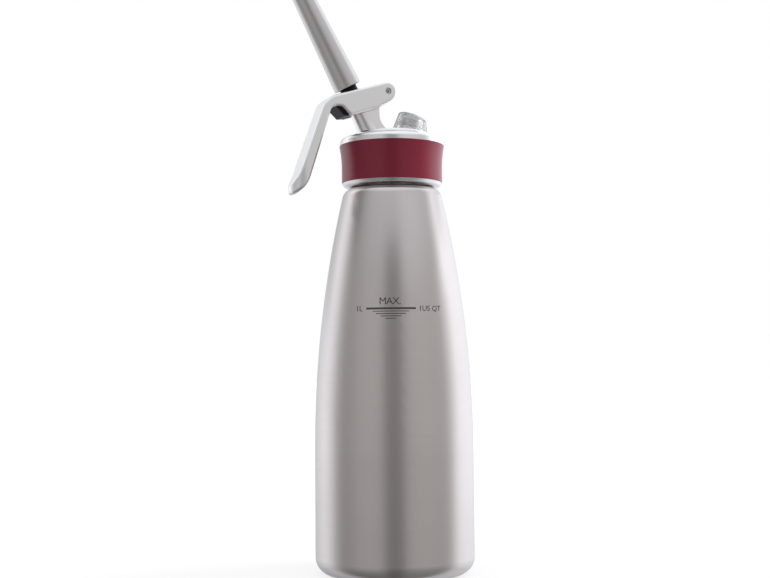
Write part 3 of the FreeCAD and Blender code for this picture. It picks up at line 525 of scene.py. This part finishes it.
# printed on the bottle: sizes in metres, and the angle of the mark's middle round the axis
fillMark = {
    "height": 0.1575,
    "angle": math.radians(-113.65),
    "standOff": 0.00004,
    "reach": 0.2,  # where the rays that find the bottle start, outside it
    "lineSegments": 24,
    "letterSteps": 3,
    "capitalShare": 0.7,  # a capital's share of the type size
    "lines": (
        {"width": 0.0293, "thickness": 0.00112, "drop": 0.0},
        {"width": 0.0212, "thickness": 0.00044, "drop": 0.00162},
        {"width": 0.0174, "thickness": 0.00044, "drop": 0.00302},
        {"width": 0.0119, "thickness": 0.00044, "drop": 0.00441},
        {"width": 0.0059, "thickness": 0.00044, "drop": 0.0058},
    ),
    "words": (
        {"text": "MAX.", "size": 0.0041, "bold": 0.0, "spacing": 0.89, "across": -0.0005,
         "rise": 0.0023},
        {"text": "1L", "size": 0.0031, "bold": 0.009, "spacing": 1.0, "across": -0.01915,
         "rise": -0.0015},
        {"text": "1US QT", "size": 0.0031, "bold": 0.009, "spacing": 1.0, "across": 0.02375,
         "rise": -0.0015},
    ),
}


def bottleSurface():
    graph = bpy.context.evaluated_depsgraph_get()
    tree = BVHTree.FromObject(nodes["bottle_shell"], graph)

    def look(angle, height):
        outward = Vector((math.cos(angle), math.sin(angle), 0))
        start = outward * fillMark["reach"] + Vector((0, 0, height))
        return tree.ray_cast(start, -outward)[:2]

    def placeAt(along, height):
        # along: metres round the bottle from the mark's middle
        near = look(fillMark["angle"], height)[0]
        spot, normal = look(fillMark["angle"] + along / Vector((near.x, near.y)).length, height)
        return spot + normal * fillMark["standOff"]
    return placeAt


def wordMesh(word):
    # letters one unit tall: smaller ones are filled in wrongly
    curve = bpy.data.curves.new("word", "FONT")
    curve.body = word["text"]
    curve.size = 1 / fillMark["capitalShare"]
    curve.offset = word["bold"]
    curve.space_character = word["spacing"]
    curve.align_x = "CENTER"
    curve.resolution_u = fillMark["letterSteps"]
    holder = addObject("word", curve)
    bpy.context.view_layer.update()
    graph = bpy.context.evaluated_depsgraph_get()
    mesh = bpy.data.meshes.new_from_object(holder.evaluated_get(graph))
    bpy.data.objects.remove(holder)
    return mesh


def makeFillMark():
    onBottle = bottleSurface()
    marks = bmesh.new()

    def addFlat(part, across, height):
        bmesh.ops.triangulate(part, faces=part.faces)
        for vert in part.verts:
            vert.co = onBottle(across + vert.co.x, height + vert.co.y)
        mesh = bpy.data.meshes.new("markPart")
        part.to_mesh(mesh)
        part.free()
        marks.from_mesh(mesh)
        bpy.data.meshes.remove(mesh)

    for line in fillMark["lines"]:
        part = bmesh.new()
        bmesh.ops.create_grid(part, x_segments=fillMark["lineSegments"], y_segments=1, size=0.5)
        bmesh.ops.scale(part, vec=(line["width"], line["thickness"], 1), verts=part.verts)
        addFlat(part, 0.0, fillMark["height"] - line["drop"])
    for word in fillMark["words"]:
        part = bmesh.new()
        part.from_mesh(wordMesh(word))
        bmesh.ops.scale(part, vec=(word["size"],) * 3, verts=part.verts)
        addFlat(part, word["across"], fillMark["height"] + word["rise"])
    mesh = bpy.data.meshes.new("fillMark")
    marks.to_mesh(mesh)
    marks.free()
    piece = addObject("fillMark", mesh)
    mesh.materials.append(grainMaterial("printedInk", printedInk, {}))
    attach(piece, "bottle")


makeFillMark()
print("fill mark printed on the bottle")


# what shiny surfaces see of the room, with 0 degrees at the front and the front's right hand
# positive: its level round the compass, how that level changes with height, and the cards,
# which are darker than the rest, or lighter where their shade is below nought
room = {
    "round": (
        (-180, 0.84), (-152, 0.88), (-138, 1.08), (-118, 1.30), (-104, 1.08), (-90, 0.55),
        (-78, 0.36), (-66, 0.43), (-48, 0.52), (-20, 0.55), (0, 0.55), (45, 0.57), (78, 0.52),
        (88, 0.64), (97, 1.15), (108, 1.50), (140, 1.42), (180, 0.90),
    ),
    "heights": (
        (-1.0, 0.42), (-0.50, 0.58), (-0.30, 0.76), (-0.15, 0.88), (-0.05, 1.0), (0.30, 1.05),
        (0.53, 1.25),
    ),
    "cards": (
        {"angle": 0.0, "half": 14.0, "soft": 5.0, "low": -2.0, "high": 0.44, "shade": 0.56},
        {"angle": -83.0, "half": 8.0, "soft": 5.0, "low": 0.37, "high": 0.80, "shade": 0.66},
        {"angle": 125.0, "half": 45.0, "soft": 10.0, "low": 0.29, "high": 0.90, "shade": 0.30},
        {"angle": -150.0, "half": 27.0, "soft": 9.0, "low": 0.12, "high": 0.92, "shade": 0.24},
        {"angle": 98.0, "half": 14.0, "soft": 8.0, "low": 0.25, "high": 0.43, "shade": -0.34},
        {"angle": 52.0, "half": 36.0, "soft": 10.0, "low": 0.32, "high": 0.64, "shade": -0.13},
        {"angle": -52.0, "half": 40.0, "soft": 10.0, "low": -0.62, "high": -0.20, "shade": -0.10},
    ),
    "cardFade": 0.04,
    "overheadFrom": 0.60,
    "overheadTo": 0.86,
    "overheadLevel": 1.0,
    "coolTint": (0.965, 1.005, 1.05, 1.0),
    "coolSides": (80.0, 110.0),
    "coolHeights": (0.24, 0.52),
}
plainLevel = 0.36  # what all other surfaces get from the world


def makeRamp(tree, place, stops, low, high, source):
    share = addNode(tree, "ShaderNodeMapRange", place)
    for name, value in (("Value", source), ("From Min", low), ("From Max", high)):
        feed(tree, share.inputs[name], value)
    ramp = addNode(tree, "ShaderNodeValToRGB", (place[0] + 200, place[1]))
    ramp.color_ramp.interpolation = "EASE"
    points = ramp.color_ramp.elements
    while len(points) > 1:
        points.remove(points[-1])
    points[0].position = (stops[0][0] - low) / (high - low)
    points[0].color = greyOf(stops[0][1])
    for spot, level in stops[1:]:
        points.new((spot - low) / (high - low)).color = greyOf(level)
    feed(tree, ramp.inputs["Fac"], share.outputs["Result"])
    return ramp.outputs["Color"]


def makeRoom(tree):
    # the level and the tint of the room in each direction
    direction = addNode(tree, "ShaderNodeTexCoord", (-2000, 0)).outputs["Generated"]
    parts = []
    for row, turn in enumerate((frontAngle, frontAngle + math.pi / 2)):
        along = addNode(tree, "ShaderNodeVectorMath", (-1800, -200 * row), operation="DOT_PRODUCT")
        feed(tree, along.inputs[0], direction)
        feed(tree, along.inputs[1], (math.cos(turn), math.sin(turn), 0))
        parts.append(along.outputs["Value"])
    compass = mathNode(tree, "ARCTAN2", (-1600, 0), parts[1], parts[0])
    compass = mathNode(tree, "DEGREES", (-1450, 0), compass)
    split = addNode(tree, "ShaderNodeSeparateXYZ", (-1600, -300))
    feed(tree, split.inputs[0], direction)
    height = split.outputs["Z"]
    around = makeRamp(tree, (-1200, 200), room["round"], -180, 180, compass)
    tall = makeRamp(tree, (-1200, -100), room["heights"], -1, 1, height)
    level = mathNode(tree, "MULTIPLY", (-700, 100), around, tall)
    fade = room["cardFade"]
    for row, card in enumerate(room["cards"]):
        down = -500 - 400 * row
        away = mathNode(tree, "SUBTRACT", (-1200, down), compass, card["angle"])
        away = mathNode(tree, "ABSOLUTE", (-1050, down), away)
        across = softStep(tree, (-900, down), away, card["half"] + card["soft"],
                          card["half"] - card["soft"])
        above = softStep(tree, (-900, down - 150), height, card["low"] - fade, card["low"] + fade)
        below = softStep(tree, (-900, down - 300), height, card["high"] + fade,
                         card["high"] - fade)
        cover = mathNode(tree, "MULTIPLY", (-700, down - 100), across, above)
        cover = mathNode(tree, "MULTIPLY", (-550, down - 100), cover, below)
        cover = mathNode(tree, "MULTIPLY", (-400, down - 100), cover, card["shade"])
        left = mathNode(tree, "SUBTRACT", (-250, down - 100), 1.0, cover)
        level = mathNode(tree, "MULTIPLY", (-100 + 150 * row, 0), level, left)
    overhead = softStep(tree, (-300, 300), height, room["overheadFrom"], room["overheadTo"])
    level = mixNode(tree, (300, 100), overhead, level, room["overheadLevel"], data_type="FLOAT")
    sides = softStep(tree, (300, -200), mathNode(tree, "ABSOLUTE", (100, -200), compass),
                     *room["coolSides"])
    raised = softStep(tree, (300, -350), height, *room["coolHeights"])
    cool = mathNode(tree, "MAXIMUM", (450, -250), sides, raised)
    tint = mixNode(tree, (500, -100), cool, greyOf(1.0), room["coolTint"], data_type="RGBA")
    return level, tint


def makeWorld():
    # lit surfaces see a plain level, shiny and clear ones the room, and the camera white
    world = bpy.data.worlds.new("studioWorld")
    bpy.context.scene.world = world
    world.use_nodes = True
    tree = world.node_tree
    level, tint = makeRoom(tree)
    plain = tree.nodes["Background"]
    plain.location = (500, -200)
    shiny = addNode(tree, "ShaderNodeBackground", (500, 100))
    seen = addNode(tree, "ShaderNodeBackground", (500, 300))
    for light, colour, strength in ((plain, greyOf(1.0), plainLevel),
                                    (shiny, tint, level), (seen, greyOf(1.0), 1.0)):
        feed(tree, light.inputs["Color"], colour)
        feed(tree, light.inputs["Strength"], strength)
    path = addNode(tree, "ShaderNodeLightPath", (300, 700)).outputs
    shine = mathNode(tree, "MAXIMUM", (500, 600), path["Is Glossy Ray"],
                     path["Is Transmission Ray"])
    lit = mixShaders(tree, (750, 100), shine, plain, shiny)
    whole = mixShaders(tree, (950, 200), path["Is Camera Ray"], lit, seen)
    output = tree.nodes["World Output"]
    output.location = (1200, 200)
    feed(tree, output.inputs["Surface"], whole.outputs[0])


paleFloor = {
    "radius": 6.0,
    "sides": 96,
    "colour": rgb(246, 246, 246),
    "roughness": 0.9,
    "specular": 0.1,
    "glow": 1.16,
    "glowShare": 0.62,
    "plainFrom": 0.12,
    "plainTo": 0.5,
}


def makeFloor():
    form = bmesh.new()
    bmesh.ops.create_circle(form, cap_ends=True, segments=paleFloor["sides"],
                            radius=paleFloor["radius"])
    mesh = bpy.data.meshes.new("floor")
    form.to_mesh(mesh)
    form.free()
    floor = addObject("floor", mesh)
    material = bpy.data.materials.new("paleFloor")
    material.use_nodes = True
    tree = material.node_tree
    shader = tree.nodes["Principled BSDF"]
    feed(tree, shader.inputs["Base Color"], paleFloor["colour"])
    feed(tree, shader.inputs["Roughness"], paleFloor["roughness"])
    feed(tree, shader.inputs["Specular IOR Level"], paleFloor["specular"])
    glow = addNode(tree, "ShaderNodeEmission", (0, -300))
    feed(tree, glow.inputs["Strength"], paleFloor["glow"])
    path = addNode(tree, "ShaderNodeLightPath", (-200, 300))
    # far from the object the floor is all glow, so that it meets the backdrop unseen
    place = addNode(tree, "ShaderNodeTexCoord", (-800, 500))
    away = addNode(tree, "ShaderNodeVectorMath", (-600, 500), operation="LENGTH")
    feed(tree, away.inputs[0], place.outputs["Object"])
    reach = softStep(tree, (-400, 500), away.outputs["Value"], paleFloor["plainFrom"],
                     paleFloor["plainTo"], paleFloor["glowShare"], 1.0)
    share = mathNode(tree, "MULTIPLY", (0, 300), path.outputs["Is Camera Ray"], reach)
    mix = mixShaders(tree, (400, 0), share, shader, glow)
    feed(tree, tree.nodes["Material Output"].inputs["Surface"], mix.outputs[0])
    mesh.materials.append(material)
    floor.visible_glossy = False  # shiny surfaces see the room's own lower half


# soft lamps that face the bottle's middle, each turned from the front by some degrees
panelTarget = Vector((0, 0, 0.2))
panels = (
    {"name": "leftPanel", "turn": -100.0, "distance": 1.1, "height": 0.5, "size": (0.7, 1.4),
     "power": 8.0},
    {"name": "rightPanel", "turn": 95.0, "distance": 1.1, "height": 0.5, "size": (0.7, 1.4),
     "power": 14.0},
    {"name": "topPanel", "turn": 0.0, "distance": 0.25, "height": 1.3, "size": (1.3, 1.0),
     "power": 3.4},
)


def makePanel(panel):
    light = bpy.data.lights.new(panel["name"], "AREA")
    light.shape = "RECTANGLE"
    light.size, light.size_y = panel["size"]
    light.energy = panel["power"]
    lamp = addObject(panel["name"], light)
    angle = frontAngle + math.radians(panel["turn"])
    lamp.location = (math.cos(angle) * panel["distance"], math.sin(angle) * panel["distance"],
                     panel["height"])
    lamp.rotation_euler = (panelTarget - lamp.location).to_track_quat("-Z", "Y").to_euler()
    lamp.visible_glossy = False  # their shine is in the room's levels


makeWorld()
makeFloor()
for panel in panels:
    makePanel(panel)
print("studio built")


cameraView = {
    "place": (-0.29219, -0.72320, 0.12950),
    "heading": -21.647,
    "tilt": 3.034,
    "roll": -0.47,
    "lens": 59.98,
    "sensorWidth": 36.0,
    "clipStart": 0.01,
    "clipEnd": 50.0,
}


def makeCamera():
    data = bpy.data.cameras.new("camera")
    data.lens = cameraView["lens"]
    data.sensor_width = cameraView["sensorWidth"]
    data.clip_start = cameraView["clipStart"]
    data.clip_end = cameraView["clipEnd"]
    camera = addObject("camera", data)
    turn = (Matrix.Rotation(math.radians(cameraView["heading"]), 4, "Z")
            @ Matrix.Rotation(math.radians(90 + cameraView["tilt"]), 4, "X")
            @ Matrix.Rotation(math.radians(cameraView["roll"]), 4, "Z"))
    camera.matrix_world = Matrix.Translation(Vector(cameraView["place"])) @ turn
    bpy.context.scene.camera = camera


makeCamera()
bpy.context.scene.view_settings.view_transform = "Standard"
print("camera placed")


def corners(box):
    return [list(box[0]), list(box[1])]
